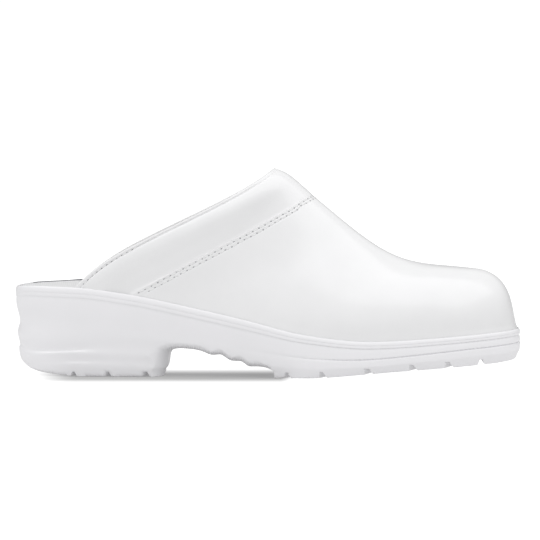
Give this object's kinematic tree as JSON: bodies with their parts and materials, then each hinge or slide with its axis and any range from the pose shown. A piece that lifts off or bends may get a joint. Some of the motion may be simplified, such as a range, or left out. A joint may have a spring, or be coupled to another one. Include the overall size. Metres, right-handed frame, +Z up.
{
  "type": "clog",
  "caption": "White open-backed work clog for the right foot: a hollow leather upper on a moulded sole with a raised rim, heel, ribbed waist and lugged tread, and a cupped insole.",
  "frame": {"origin": "on the floor, under the middle of the shoe's length and width", "axes": "+X towards the toe, +Y towards the inner (big toe) side of the right foot, +Z up"},
  "size_m": [0.29, 0.1047, 0.1176],
  "materials": {
    "sole": "satin moulded polyurethane",
    "upper": "smooth white coated leather with a soft gloss",
    "insole": "matt lining cloth over foam"
  },
  "bodies": {
    "root": {"sole": "sole", "upper": "upper", "insole": "insole"}
  },
  "joints": []
}
